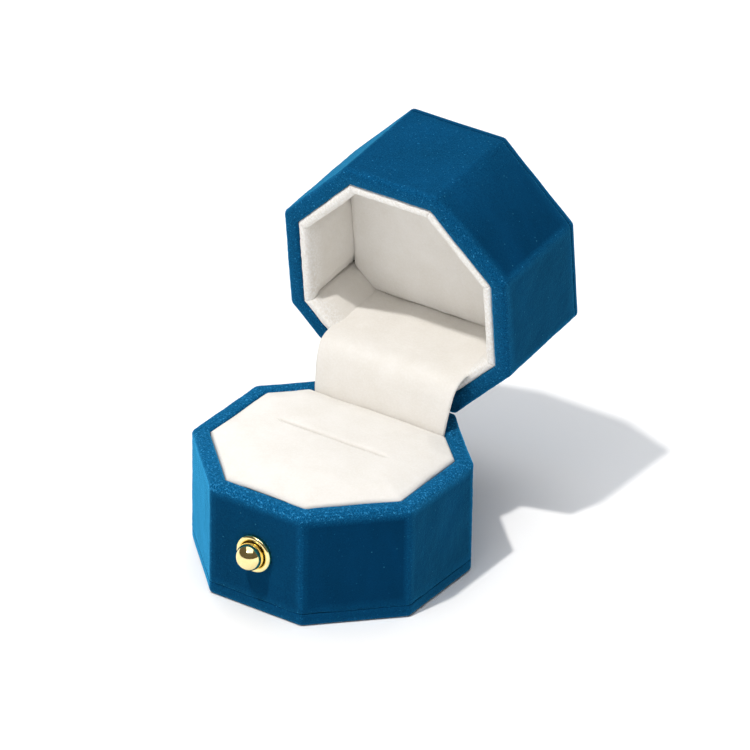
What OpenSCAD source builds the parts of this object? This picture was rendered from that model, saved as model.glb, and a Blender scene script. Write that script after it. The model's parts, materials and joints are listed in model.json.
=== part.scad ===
// Octagonal velvet ring box, lid open on its stop.
// The origin is the centre of the underside. +X is to the right, +Y is towards the hinge, +Z is up.
// Lid pieces are drawn with the lid closed, then swung open by open_angle about the hinge pin.

/* [Box] */
// Width across the flats of the octagon
box_w = 50; // [46:0.5:56]
// Height of the base
base_h = 24; // [23:0.5:28]
// Height of the lid
lid_h = 24.6; // [23.5:0.1:28]
// Gap left between the two rims when the lid is shut
rim_gap = 0.1; // [0.05:0.05:0.3]
// Angle of the open lid
open_angle = 83; // [60:1:84]

/* [Walls] */
// Thickness of the moulded shells
shell_t = 2; // [1.8:0.1:2.2]
// Thickness of the velvet
velvet_t = 0.6; // [0.4:0.1:0.8]
// How far the velvet is turned in over the rims
turn_in = 6; // [4:0.5:6]
// Height of the bottom board's velvet edge
bottom_seam = 2.6; // [2:0.1:3]
// Height of the top board's velvet edge
top_seam = 1.4; // [1.2:0.1:2]

/* [Cushion] */
// Length of the ring slot
slot_l = 25; // [20:0.5:28]
// Width of the ring slot with its soft lips held apart
slot_w = 4.6; // [4.4:0.1:6]
// Depth of the ring slot
slot_d = 12; // [8:0.5:15]
// Distance from the centre to the cushion's straight back edge
cushion_back = 15; // [13:0.1:15]

/* [Lid lining] */
// Thickness of the padded lining panels
panel_t = 2; // [1.6:0.1:2.4]
// Depth of the lid cavity below the rim
cavity_d = 14.2; // [12:0.1:16]
// Distance from the centre to the raised lining on the hinge side
floor_y = 12.6; // [12:0.1:13.5]

/* [Hinge] */
// How far the pin is inside the rear face
pin_inset = 2; // [2:0.05:2.2]
// Radius of the knuckles
knuckle_r = 1.1; // [1:0.05:1.1]
// Radius of the pin
pin_r = 0.5; // [0.4:0.05:0.6]
// Radial clearance of the lid's knuckle on the pin
pin_play = 0.03; // [0.02:0.01:0.06]
// Width of the hinge
hinge_w = 16; // [14:0.5:17]

/* [Button] */
// Height of the button's centre
button_z = 12.5; // [12:0.1:13]
// Diameter of the ball
ball_d = 5.3; // [4.8:0.1:5.4]
// Distance from the flange's face to the ball's centre
ball_out = 0.7; // [0.6:0.1:1.2]
// Diameter of the flange
flange_d = 7.6; // [7.2:0.1:8.4]
// Thickness of the flange
flange_t = 1; // [0.8:0.1:1.2]
// Travel of the button
travel = 1; // [0.6:0.1:1]

/* [Hidden] */

closed_h = base_h + lid_h;
half_w = box_w / 2;
shell_out = half_w - velvet_t;
shell_in = shell_out - shell_t;
velvet_in = shell_in - velvet_t;
base_rim = base_h - rim_gap / 2;
lid_rim = lid_h - rim_gap / 2;
beyond = 1;
contact = 0.05;

pin_y = half_w - pin_inset;
pin_z = base_h;
knuckle_split = 3;
knuckle_play = 0.1;
notch_play = 0.25;
notch_r = knuckle_r + notch_play;
notch_w = hinge_w + 0.8;
leaf_t = 0.5;
leaf_y = pin_y - knuckle_r;
leaf_l = 11;
leaf_neck = 1.4;
rivet_x = 5.5;
rivet_drop = 7;
rivet_r = 0.8;
rivet_head_r = 1.5;
rivet_head_t = 0.4;
rivet_end = leaf_y + leaf_t + 1.6;
bevel_l = 10;

cushion_z = bottom_seam + contact;
cushion_top = base_h;
cushion_a = velvet_in - 0.2;
cover_t = 0.5;
card_t = 0.9;
slot_z = cushion_top - slot_d;

panel_out = velvet_in - contact;
panel_in = panel_out - panel_t;
panel_z = base_h + 0.2;
panel_top = closed_h - top_seam - contact;
mitre = 22.4;
ceiling_z = base_h + cavity_d;
ceiling_pad_t = 2.2;
floor_gap = 0.3;

flap_bottom = [cushion_back + 0.25, base_h + 0.1];
flap_top = [pin_y - notch_r, base_h + 10.2];
flap_bow = 36;
flap_w = 30;
flap_t = 0.8;

bezel_y = -half_w - flange_t;
bore_r = ball_d / 2 + 0.15;
neck_r = bore_r + 0.5;
neck_hole_r = neck_r + 0.05;
neck_end = -velvet_in + 0.6;
neck_floor_t = 0.8;
nut_r = 3.9;
nut_t = 1;
stem_r = 1.2;
guide_r = stem_r + 0.05;
stem_end = -(half_w - 5.8);
ball_y = bezel_y - ball_out;
spring_r = 1.75;
spring_wire_r = 0.2;
spring_turns = 3;
clip_r = 2.2;
clip_t = 0.4;
arm_w = 5;
arm_t = 0.6;
stem_over = 0.4;
arm_y = stem_end - arm_t - stem_over;
arm_bottom = 10;
magnet_w = 6;
magnet_t = 1.4;
magnet_h = 4;
magnet_top = base_h - 1.3;
ledge_t = 0.6;
pocket_w = 9.2;
pocket_room = 0.3;
pocket_y = stem_end + travel + pocket_room;
pocket_top = base_h - 1.1;
lid_magnet_t = 1.2;
lid_magnet_lift = 0.8;

// ---------- Shapes that repeat ----------

// An octagonal prism with flats on the axes, apothem a, from z0 up to z1
module octagon(a, z0, z1) {
    translate([0, 0, z0])
        rotate([0, 0, 22.5])
            cylinder(h = z1 - z0, r = a / cos(22.5), $fn = 8);
}

// A block from one corner to the opposite one
module block(low, high) {
    translate(low)
        cube(high - low);
}

// A cylinder along +Y from y0 to y1
module rod_y(r, y0, y1, x = 0, z = 0) {
    translate([x, y0, z])
        rotate([-90, 0, 0])
            cylinder(h = y1 - y0, r = r, $fn = 64);
}

// A cylinder along the hinge pin's line, from x0 to x1
module on_pin(r, x0, x1) {
    translate([x0, pin_y, pin_z])
        rotate([0, 90, 0])
            cylinder(h = x1 - x0, r = r, $fn = 64);
}

// An outline in the Y-Z plane, w wide along X and centred
module across(w) {
    translate([-w / 2, 0, 0])
        rotate([90, 0, 90])
            linear_extrude(height = w)
                children();
}

// Turns a half box with its rim up at z = lid_h into the shut lid
module flipped() {
    translate([0, 0, closed_h])
        mirror([0, 0, 1])
            children();
}

// Swings a shut lid piece open about the pin
module opened() {
    translate([0, pin_y, pin_z])
        rotate([-open_angle, 0, 0])
            translate([0, -pin_y, -pin_z])
                children();
}

// The 45 degree bevel behind the pin that lets the lid fall open, for a half box with its rim at z = rim
module bevel(rim, depth) {
    drop = depth * sqrt(2);
    across(box_w)
        polygon([
            [pin_y - drop, rim + beyond],
            [pin_y - drop, rim],
            [pin_y - drop + bevel_l, rim - bevel_l],
            [pin_y - drop + bevel_l, rim + beyond]
        ]);
}

// Room for the knuckles and the leaf in a half box whose pin line is at z = rim
module hinge_room(rim) {
    translate([-notch_w / 2, pin_y, rim])
        rotate([0, 90, 0])
            cylinder(h = notch_w, r = notch_r, $fn = 64);
    block([-notch_w / 2, velvet_in - beyond, rim - leaf_l - beyond],
          [notch_w / 2, shell_in, rim + beyond]);
}

// The two blind holes for a leaf's rivets
module rivet_holes(rim) {
    for (x = [-rivet_x, rivet_x])
        rod_y(rivet_r, shell_in - beyond, rivet_end, x, rim - rivet_drop);
}

// The moulded octagonal wall of one half, from its board at z = seam to just under its rim
module wall_shell(seam, rim, pin_level) {
    difference() {
        octagon(shell_out, seam, rim - velvet_t);
        octagon(shell_in, seam - beyond, rim + beyond);
        bevel(pin_level, velvet_t);
        hinge_room(pin_level);
        rivet_holes(pin_level);
    }
}

// The velvet glued round that wall, over its rim and down inside
module wall_velvet(seam, rim, pin_level) {
    difference() {
        octagon(half_w, seam, rim);
        bevel(pin_level, 0);
        difference() {
            octagon(shell_out, seam - beyond, rim - velvet_t);
            bevel(pin_level, velvet_t);
            octagon(shell_in, rim - turn_in, rim + beyond);
        }
        octagon(shell_in, seam - beyond, rim - turn_in);
        octagon(velvet_in, seam - beyond, rim + beyond);
        hinge_room(pin_level);
    }
}

// A thin end board
module end_board(seam) {
    octagon(shell_out, velvet_t, seam);
}

// The velvet wrapped round an end board and up its edge
module end_velvet(seam) {
    difference() {
        octagon(half_w, 0, seam);
        octagon(shell_out, velvet_t, seam + beyond);
    }
}

// The round hole in the front wall for the bezel's neck
module bezel_hole() {
    rod_y(neck_hole_r, -half_w - beyond, -velvet_in + beyond, 0, button_z);
}

// ---------- Base ----------

module bottom_velvet() {
    color([0.09, 0.36, 0.54])
        end_velvet(bottom_seam);
}

module bottom_board() {
    color([0.55, 0.52, 0.47])
        end_board(bottom_seam);
}

module base_shell() {
    color([0.30, 0.32, 0.35])
        difference() {
            wall_shell(bottom_seam, base_rim, pin_z);
            bezel_hole();
        }
}

module base_velvet() {
    color([0.07, 0.31, 0.48])
        difference() {
            wall_velvet(bottom_seam, base_rim, pin_z);
            bezel_hole();
        }
}

// The outline shared by the cushion's layers, cut straight behind
module cushion_form(inset, z0, z1) {
    intersection() {
        octagon(cushion_a - inset, z0, z1);
        block([-half_w, -half_w, z0], [half_w, cushion_back - inset, z1]);
    }
}

// The ring slot, widened by grow on every side
module slot(grow) {
    block([-slot_l / 2 - grow, -slot_w / 2 - grow, slot_z - grow],
          [slot_l / 2 + grow, slot_w / 2 + grow, cushion_top + beyond]);
}

// Room behind the front wall for the bezel's nut and the magnet arm
module button_pocket() {
    block([-pocket_w / 2, -half_w, cushion_z - beyond], [pocket_w / 2, pocket_y, pocket_top]);
}

module cushion_board() {
    color([0.62, 0.58, 0.50])
        difference() {
            cushion_form(cover_t + contact, cushion_z, cushion_z + card_t);
            button_pocket();
        }
}

module cushion_foam() {
    color([0.80, 0.78, 0.72])
        difference() {
            cushion_form(cover_t, cushion_z + card_t, cushion_top - cover_t);
            slot(cover_t);
            button_pocket();
        }
}

module cushion_cover() {
    color([0.95, 0.93, 0.89])
        difference() {
            cushion_form(0, cushion_z, cushion_top);
            difference() {
                cushion_form(cover_t, cushion_z - beyond, cushion_top - cover_t);
                slot(cover_t);
            }
            slot(0);
            button_pocket();
        }
}

// ---------- Hinge ----------

// One hinge leaf in a half box whose rim is up: a plate against the wall's inner face
module leaf_plate() {
    block([-hinge_w / 2, leaf_y, pin_z - leaf_l],
          [hinge_w / 2, leaf_y + leaf_t, pin_z - leaf_neck]);
}

module hinge_base_leaf() {
    color([0.72, 0.72, 0.74])
        difference() {
            union() {
                leaf_plate();
                for (side = [-1, 1]) {
                    x0 = side < 0 ? -hinge_w / 2 : knuckle_split;
                    x1 = side < 0 ? -knuckle_split : hinge_w / 2;
                    on_pin(knuckle_r, x0, x1);
                    block([x0, leaf_y, pin_z - leaf_neck], [x1, leaf_y + leaf_t, pin_z]);
                }
            }
            on_pin(pin_r, -hinge_w, hinge_w);
            for (x = [-rivet_x, rivet_x])
                rod_y(rivet_r, leaf_y - beyond, leaf_y + leaf_t + beyond, x, pin_z - rivet_drop);
        }
}

module hinge_lid_leaf() {
    lid_knuckle = knuckle_split - knuckle_play;
    color([0.72, 0.72, 0.74])
        opened()
            difference() {
                union() {
                    translate([0, 0, 2 * pin_z])
                        mirror([0, 0, 1])
                            leaf_plate();
                    on_pin(knuckle_r, -lid_knuckle, lid_knuckle);
                    block([-lid_knuckle, leaf_y, pin_z],
                          [lid_knuckle, leaf_y + leaf_t, pin_z + leaf_neck]);
                }
                on_pin(pin_r + pin_play, -hinge_w, hinge_w);
                for (x = [-rivet_x, rivet_x])
                    rod_y(rivet_r, leaf_y - beyond, leaf_y + leaf_t + beyond, x, pin_z + rivet_drop);
            }
}

module hinge_pin() {
    color([0.80, 0.80, 0.82])
        on_pin(pin_r, -hinge_w / 2, hinge_w / 2);
}

// Two rivets that hold a leaf to its shell
module rivets(z) {
    for (x = [-rivet_x, rivet_x]) {
        rod_y(rivet_head_r, leaf_y - rivet_head_t, leaf_y, x, z);
        rod_y(rivet_r, leaf_y - rivet_head_t / 2, rivet_end, x, z);
    }
}

module hinge_base_rivets() {
    color([0.66, 0.66, 0.68])
        rivets(pin_z - rivet_drop);
}

module hinge_lid_rivets() {
    color([0.66, 0.66, 0.68])
        opened()
            rivets(pin_z + rivet_drop);
}

// A spring strip from the base leaf's foot up to the lid's knuckle
module snap_spring() {
    strip_w = 4;
    strip_t = 0.3;
    foot_h = 2;
    gap = 0.1;
    above_pin = 0.5;
    strip_y = leaf_y - strip_t - gap;
    strip_z = pin_z - leaf_l + 1;
    color([0.50, 0.52, 0.56]) {
        block([-strip_w / 2, strip_y, strip_z], [strip_w / 2, strip_y + strip_t, pin_z + above_pin]);
        block([-strip_w / 2, strip_y, strip_z], [strip_w / 2, leaf_y, strip_z + foot_h]);
    }
}

// The velvet flap that bridges the hinge, an arc from behind the cushion up to the lid's lining
module hinge_flap() {
    chord = flap_top - flap_bottom;
    flap_r = norm(chord) / (2 * sin(flap_bow));
    along = chord / norm(chord);
    inward = [along[1], -along[0]];
    centre = (flap_bottom + flap_top) / 2 + inward * flap_r * cos(flap_bow);
    reach = 2 * flap_r;
    past = 1.5;
    color([0.94, 0.92, 0.88])
        across(flap_w)
            intersection() {
                difference() {
                    translate(centre) circle(r = flap_r, $fn = 128);
                    translate(centre) circle(r = flap_r - flap_t, $fn = 128);
                }
                polygon([
                    centre,
                    centre + (flap_bottom - centre) * past,
                    centre - inward * reach,
                    centre + (flap_top - centre) * past
                ]);
            }
}

// ---------- Button and magnetic catch ----------

// A flange with a deep bore for the ball and a floor that guides the stem
module button_bezel() {
    color([0.93, 0.78, 0.42])
        difference() {
            union() {
                rod_y(flange_d / 2, bezel_y, -half_w, 0, button_z);
                rod_y(neck_r, -half_w - contact, neck_end, 0, button_z);
            }
            rod_y(bore_r, bezel_y - beyond, neck_end - neck_floor_t, 0, button_z);
            rod_y(guide_r, bezel_y, neck_end + beyond, 0, button_z);
        }
}

module bezel_nut() {
    color([0.70, 0.70, 0.72])
        difference() {
            rod_y(nut_r, -shell_in, -shell_in + nut_t, 0, button_z);
            rod_y(neck_r, -half_w, -velvet_in + 2 * beyond, 0, button_z);
        }
}

// The return spring in the bezel, between its floor and the ball
module button_spring() {
    y1 = neck_end - neck_floor_t - contact - spring_wire_r;
    y0 = ball_y + sqrt(pow(ball_d / 2, 2) - pow(spring_r, 2)) + 2 * spring_wire_r;
    pitch = (y1 - y0) / (spring_turns - 1);
    color([0.75, 0.76, 0.78])
        for (k = [0 : spring_turns - 1])
            translate([0, y0 + k * pitch, button_z])
                rotate([-90, 0, 0])
                    rotate_extrude($fn = 64)
                        translate([spring_r, 0])
                            circle(r = spring_wire_r, $fn = 24);
}

module button_ball() {
    color([0.95, 0.80, 0.45]) {
        translate([0, ball_y, button_z])
            sphere(r = ball_d / 2, $fn = 64);
        rod_y(stem_r, ball_y, stem_end, 0, button_z);
    }
}

module stem_clip() {
    clip_gap = 0.1;
    clip_y = neck_end + clip_gap;
    color([0.60, 0.60, 0.62])
        difference() {
            rod_y(clip_r, clip_y, clip_y + clip_t, 0, button_z);
            rod_y(stem_r, clip_y - beyond, clip_y + beyond, 0, button_z);
        }
}

// A strip on the stem's end that carries the base magnet on its ledge
module magnet_arm() {
    color([0.70, 0.71, 0.73])
        difference() {
            union() {
                block([-arm_w / 2, arm_y, arm_bottom], [arm_w / 2, arm_y + arm_t, magnet_top]);
                block([-arm_w / 2, arm_y - magnet_t, magnet_top - magnet_h - ledge_t],
                      [arm_w / 2, arm_y + arm_t, magnet_top - magnet_h]);
            }
            rod_y(stem_r, arm_y - beyond, arm_y + arm_t + beyond, 0, button_z);
        }
}

module base_magnet() {
    color([0.62, 0.63, 0.66])
        block([-magnet_w / 2, arm_y - magnet_t, magnet_top - magnet_h],
              [magnet_w / 2, arm_y, magnet_top]);
}

// The lid magnet's place in the front lining panel, widened by grow
module lid_magnet_room(grow) {
    middle = -(panel_out + panel_in) / 2;
    z = panel_z + lid_magnet_lift;
    block([-magnet_w / 2 - grow, middle - lid_magnet_t / 2 - grow, z - grow],
          [magnet_w / 2 + grow, middle + lid_magnet_t / 2 + grow, z + magnet_h + grow]);
}

module lid_magnet() {
    color([0.62, 0.63, 0.66])
        opened()
            lid_magnet_room(0);
}

// ---------- Lid ----------

module lid_top_velvet() {
    color([0.09, 0.36, 0.54])
        opened()
            flipped()
                end_velvet(top_seam);
}

module lid_top_board() {
    color([0.55, 0.52, 0.47])
        opened()
            flipped()
                end_board(top_seam);
}

module lid_shell() {
    color([0.30, 0.32, 0.35])
        opened()
            flipped()
                wall_shell(top_seam, lid_rim, lid_h);
}

module lid_velvet() {
    color([0.07, 0.31, 0.48])
        opened()
            flipped()
                wall_velvet(top_seam, lid_rim, lid_h);
}

// One padded panel against the wall that faces the given angle, with mitred ends
module lining_panel(angle) {
    reach = box_w;
    spread = reach * tan(mitre);
    color([0.93, 0.91, 0.86])
        opened()
            intersection() {
                difference() {
                    octagon(panel_out, panel_z, panel_top);
                    octagon(panel_in, panel_z - beyond, panel_top + beyond);
                    lid_magnet_room(contact);
                }
                rotate([0, 0, angle])
                    translate([0, 0, panel_z - beyond])
                        linear_extrude(height = lid_h + 2 * beyond)
                            polygon([[0, 0], [reach, -spread], [reach, spread]]);
            }
}

module lining_front() { lining_panel(-90); }
module lining_front_right() { lining_panel(-45); }
module lining_right() { lining_panel(0); }
module lining_rear_right() { lining_panel(45); }
module lining_rear_left() { lining_panel(135); }
module lining_left() { lining_panel(180); }
module lining_front_left() { lining_panel(-135); }

// A level slice of the lid's cavity between two distances from its centre line
module cavity_slice(y0, y1, z0, z1) {
    opened()
        intersection() {
            octagon(panel_in - contact, z0, z1);
            block([-half_w, y0, z0], [half_w, y1, z1]);
        }
}

module lining_hinge_side() {
    color([0.94, 0.92, 0.88])
        cavity_slice(floor_y, floor_y + panel_t, base_h + floor_gap, panel_top);
}

module ceiling_pad() {
    color([0.92, 0.90, 0.85])
        cavity_slice(-half_w, floor_y - contact, ceiling_z, ceiling_z + ceiling_pad_t);
}

module ceiling_card() {
    color([0.62, 0.58, 0.50])
        cavity_slice(-half_w, floor_y - contact,
                     ceiling_z + ceiling_pad_t, ceiling_z + ceiling_pad_t + card_t);
}

bottom_velvet();
bottom_board();
base_shell();
base_velvet();
cushion_board();
cushion_foam();
cushion_cover();
hinge_base_leaf();
hinge_pin();
hinge_base_rivets();
snap_spring();
hinge_flap();
button_bezel();
bezel_nut();
button_spring();
button_ball();
stem_clip();
magnet_arm();
base_magnet();
lid_top_velvet();
lid_top_board();
lid_shell();
lid_velvet();
lining_front();
lining_front_right();
lining_right();
lining_rear_right();
lining_rear_left();
lining_left();
lining_front_left();
lining_hinge_side();
ceiling_pad();
ceiling_card();
hinge_lid_leaf();
hinge_lid_rivets();
lid_magnet();
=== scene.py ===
"""Octagonal velvet ring box, lid open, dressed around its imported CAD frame."""

import json
import math
from collections import namedtuple

import bmesh
import bpy
import numpy as np
from mathutils import Matrix, Vector, noise

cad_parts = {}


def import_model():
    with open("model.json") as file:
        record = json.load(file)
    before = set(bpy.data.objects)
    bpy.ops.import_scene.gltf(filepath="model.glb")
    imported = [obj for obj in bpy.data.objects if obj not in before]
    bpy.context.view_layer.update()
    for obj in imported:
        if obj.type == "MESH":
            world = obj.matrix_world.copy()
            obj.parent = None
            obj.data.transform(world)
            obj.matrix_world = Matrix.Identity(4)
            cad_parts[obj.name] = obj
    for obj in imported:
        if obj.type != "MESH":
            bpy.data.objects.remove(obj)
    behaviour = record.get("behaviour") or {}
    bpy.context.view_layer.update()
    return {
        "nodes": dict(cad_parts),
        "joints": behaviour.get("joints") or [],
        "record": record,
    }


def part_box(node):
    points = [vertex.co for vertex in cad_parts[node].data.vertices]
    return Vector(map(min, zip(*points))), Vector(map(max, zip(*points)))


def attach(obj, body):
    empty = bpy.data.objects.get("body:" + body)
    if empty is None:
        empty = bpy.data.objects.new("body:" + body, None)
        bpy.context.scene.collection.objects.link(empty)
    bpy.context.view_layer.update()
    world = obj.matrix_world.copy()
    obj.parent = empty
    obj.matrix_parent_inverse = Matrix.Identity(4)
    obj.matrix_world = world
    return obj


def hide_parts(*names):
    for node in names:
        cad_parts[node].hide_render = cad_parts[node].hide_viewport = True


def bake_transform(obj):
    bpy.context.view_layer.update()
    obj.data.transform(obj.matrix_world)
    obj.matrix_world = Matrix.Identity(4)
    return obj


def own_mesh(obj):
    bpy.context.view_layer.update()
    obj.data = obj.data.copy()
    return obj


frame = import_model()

MM = 0.001
EIGHTH = math.radians(45)
HALF_EIGHTH = EIGHTH / 2

# ---------- Places, read from the frame ----------

joint = {j["name"]: j for j in frame["joints"]}
PIN = Vector(joint["lid_hinge"]["pos_m"])
OPEN_ANGLE = math.radians(max(joint["lid_hinge"]["range_deg"]))
BUTTON_TRAVEL = max(abs(end) for end in joint["button_press"]["range_m"])
SHUT = Matrix.Translation(PIN) @ Matrix.Rotation(OPEN_ANGLE, 4, "X") @ Matrix.Translation(-PIN)
OPENED = SHUT.inverted()


def shut_box(node):
    """The box of a lid node with the lid shut."""
    points = [SHUT @ v.co for v in frame["nodes"][node].data.vertices]
    low = Vector(min(p[k] for p in points) for k in range(3))
    high = Vector(max(p[k] for p in points) for k in range(3))
    return low, high


RIM_GAP = 0.12 * MM  # how much lower the velvet's rims are than their solids, to clear when shut
LEAF_T = 0.5 * MM  # sheet of the hinge's leaves
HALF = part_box("bottom_velvet")[1].x
BASE_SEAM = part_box("bottom_velvet")[1].z
BASE_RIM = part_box("base_velvet")[1].z - RIM_GAP
SHELL_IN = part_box("hinge_base_leaf")[0].y + LEAF_T
SHUT_TOP = shut_box("lid_top_velvet")[1].z
LID_SEAM = SHUT_TOP - shut_box("lid_top_velvet")[0].z
LID_RIM = SHUT_TOP - shut_box("lid_velvet")[0].z - RIM_GAP
PANEL_OUT = shut_box("lining_right")[1].x
PANEL_IN = shut_box("lining_right")[0].x
PANEL_MOUTH = shut_box("lining_right")[0].z
CEILING = shut_box("ceiling_pad")[0].z
FLOOR_Y = shut_box("lining_hinge_side")[0].y
CUSHION_LOW, CUSHION_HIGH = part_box("cushion_cover")
FLAP_LOW, FLAP_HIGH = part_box("hinge_flap")
BEZEL_LOW, BEZEL_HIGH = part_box("button_bezel")
BALL_LOW, BALL_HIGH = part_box("button_ball")
BUTTON = (BEZEL_LOW + BEZEL_HIGH) / 2
FLANGE_R = (BEZEL_HIGH.x - BEZEL_LOW.x) / 2
BALL_R = (BALL_HIGH.x - BALL_LOW.x) / 2
BORE_R = BALL_R + 0.08 * MM
NECK_R = BALL_R + 0.65 * MM
STEM_R = 1.2 * MM
SKIRT_DEPTH = 0.4 * MM  # how far the ball's skirt reaches into its flange

# ---------- Mesh helpers ----------


def smoothstep(t):
    """0 up to t = 0, 1 from t = 1, and a soft curve between."""
    t = np.clip(t, 0, 1)
    return t * t * (3 - 2 * t)


def make_object(name, points, faces, nap_and_sheen=None):
    """A smooth-shaded mesh object. The last argument gives how much loose pile each vertex shows, 0 to
    1; on the blue covers it is raised on corners, lips, rims and the lid's front faces as painted
    highlight.
    """
    mesh = bpy.data.meshes.new(name)
    mesh.from_pydata([tuple(p) for p in points], [], faces)
    if nap_and_sheen is not None:
        layer = mesh.attributes.new("nap_and_sheen", "FLOAT", "POINT")
        layer.data.foreach_set("value", np.asarray(nap_and_sheen, np.float32))
    work = bmesh.new()
    work.from_mesh(mesh)
    bmesh.ops.recalc_face_normals(work, faces=work.faces)
    work.to_mesh(mesh)
    work.free()
    mesh.polygons.foreach_set("use_smooth", [True] * len(mesh.polygons))
    obj = bpy.data.objects.new(name, mesh)
    bpy.context.scene.collection.objects.link(obj)
    return obj


def grid_faces(rows, columns, wrap):
    """Quads between rows of points; wrap joins the last column to the first."""
    faces = []
    last = columns if wrap else columns - 1
    for r in range(rows - 1):
        for c in range(last):
            d = (c + 1) % columns
            below, above = r * columns, (r + 1) * columns
            faces.append((below + c, below + d, above + d, above + c))
    return faces


def end_caps(rows, columns):
    """The faces that close the first and the last row of a grid."""
    last = (rows - 1) * columns
    return [tuple(range(columns)), tuple(range(last, last + columns))]


def coordinates(obj):
    """The object's points as rows of x, y and z."""
    flat = np.empty(len(obj.data.vertices) * 3, np.float32)
    obj.data.vertices.foreach_get("co", flat)
    return flat.reshape(-1, 3)


def put_coordinates(obj, points):
    obj.data.vertices.foreach_set("co", np.asarray(points, np.float32).ravel())
    obj.data.update()


def roughen(obj, amount, size, seed=0.0, above=-1.0):
    """Moves each vertex higher than above along its normal by smooth noise."""
    normals = np.empty(len(obj.data.vertices) * 3, np.float32)
    obj.data.vertex_normals.foreach_get("vector", normals)
    points = coordinates(obj)
    offset = np.array((seed, seed * 1.7, seed * 0.6))
    moves = amount * np.array([noise.noise(place) for place in points / size + offset])
    moves[points[:, 2] < above] = 0
    put_coordinates(obj, points + normals.reshape(-1, 3) * moves[:, None])


def transform(obj, matrix):
    """Moves the object's points; its faces still face outwards if the matrix mirrors them."""
    obj.data.transform(matrix)
    if matrix.determinant() < 0:
        obj.data.flip_normals()
    obj.data.update()


def upside_down(height):
    """Turns a piece that stands on z = 0 over, so that it hangs from height."""
    return Matrix.Translation((0, 0, height)) @ Matrix.Scale(-1, 4, (0, 0, 1))


def apply_modifiers(obj):
    """Puts what the modifiers make into the mesh itself."""
    graph = bpy.context.evaluated_depsgraph_get()
    made = bpy.data.meshes.new_from_object(obj.evaluated_get(graph))
    obj.modifiers.clear()
    old = obj.data
    obj.data = made
    made.name = obj.name
    bpy.data.meshes.remove(old)


def set_material(obj, material):
    obj.data.materials.clear()
    obj.data.materials.append(material)


# ---------- Materials ----------


class Nodes:
    """A node tree, built a node at a time. Values are numbers, colours or other nodes' outputs."""

    def __init__(self, tree):
        self.tree = tree

    def node(self, kind, **settings):
        made = self.tree.nodes.new(kind)
        for key, value in settings.items():
            setattr(made, key, value)
        return made

    def feed(self, node, values):
        """Sets each named or numbered input to a number or colour, or links it to an output."""
        for key, value in values.items():
            if isinstance(value, (int, float, tuple)):
                node.inputs[key].default_value = value
            else:
                self.tree.links.new(value, node.inputs[key])

    def remap(self, value, low, high, to_low=0.0, to_high=1.0, curve="LINEAR"):
        """Maps low to to_low and high to to_high, and holds those values outside."""
        made = self.node("ShaderNodeMapRange", interpolation_type=curve)
        self.feed(made, {"From Min": low, "From Max": high, "To Min": to_low, "To Max": to_high})
        self.feed(made, {"Value": value})
        return made.outputs["Result"]

    def math(self, operation, a, b=0.0):
        made = self.node("ShaderNodeMath", operation=operation)
        self.feed(made, {0: a, 1: b})
        return made.outputs["Value"]

    def mix(self, factor, a, b):
        """Colour a where factor is 0 and colour b where it is 1."""
        made = self.node("ShaderNodeMix", data_type="RGBA")
        self.feed(made, {0: factor, 6: a, 7: b})
        return made.outputs[2]


class Shader(Nodes):
    """A material with one Principled shader."""

    def __init__(self, name, **sockets):
        self.material = bpy.data.materials.new(name)
        self.material.use_nodes = True
        super().__init__(self.material.node_tree)
        self.main = self.tree.nodes["Principled BSDF"]
        self.feed(self.main, {socket.replace("_", " "): value for socket, value in sockets.items()})
        self.place = self.node("ShaderNodeTexCoord").outputs["Object"]

    def noise(self, scale, detail=2.0, rough=0.5, stretch=None):
        """Noise of scale waves to a metre, longer along the axes that stretch gives less than 1."""
        place = self.place
        if stretch:
            mapping = self.node("ShaderNodeMapping")
            self.feed(mapping, {"Scale": stretch, "Vector": place})
            place = mapping.outputs["Vector"]
        made = self.node("ShaderNodeTexNoise")
        self.feed(made, {"Scale": scale, "Detail": detail, "Roughness": rough, "Vector": place})
        return made.outputs["Fac"]

    def flecks(self, scale, radius):
        """1 inside small scattered specks, scale of them to a metre."""
        made = self.node("ShaderNodeTexVoronoi")
        self.feed(made, {"Scale": scale, "Vector": self.place})
        return self.remap(made.outputs["Distance"], radius, radius * 0.6)

    def bump(self, height, strength, distance):
        made = self.node("ShaderNodeBump")
        self.feed(made, {"Strength": strength, "Distance": distance, "Height": height})
        self.feed(self.main, {"Normal": made.outputs["Normal"]})

    def attribute(self, name):
        return self.node("ShaderNodeAttribute", attribute_name=name).outputs["Fac"]

    def paint(self, colour):
        self.feed(self.main, {"Base Color": colour})

    def polish(self, rough):
        self.feed(self.main, {"Roughness": rough})


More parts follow.
